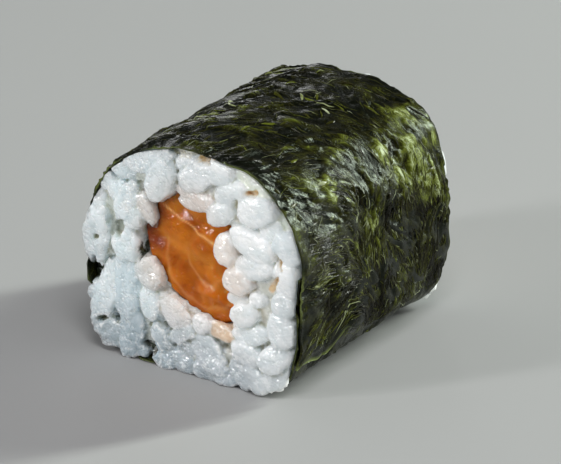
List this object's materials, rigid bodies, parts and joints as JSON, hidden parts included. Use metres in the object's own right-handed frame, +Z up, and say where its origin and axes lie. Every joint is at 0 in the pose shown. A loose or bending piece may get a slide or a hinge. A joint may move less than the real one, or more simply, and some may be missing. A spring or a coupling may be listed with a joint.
{
  "type": "salmon maki roll",
  "caption": "Thick cut piece of sushi roll lying on its side: sushi rice round a strip of raw salmon, wrapped in a dark seaweed sheet, both knife-cut faces showing rice grains.",
  "frame": {"origin": "middle of the flat stretch that the roll rests on, which is the middle of the underside of its box", "axes": "+Y along the roll's axis, from the cut face that the picture shows to the hidden one; +Z up; +X to the right as seen from the -Y end"},
  "size_m": [0.0286, 0.03, 0.0263],
  "materials": {
    "nori": "dark green dried seaweed sheet, damp, with a soft fibrous sheen",
    "rice": "cooked short-grain rice, translucent white, slightly sticky and glossy",
    "salmon": "raw salmon, moist and translucent orange with pale fat lines"
  },
  "bodies": {
    "root": {"nori": "nori", "rice": "rice", "salmon": "salmon"}
  },
  "joints": []
}
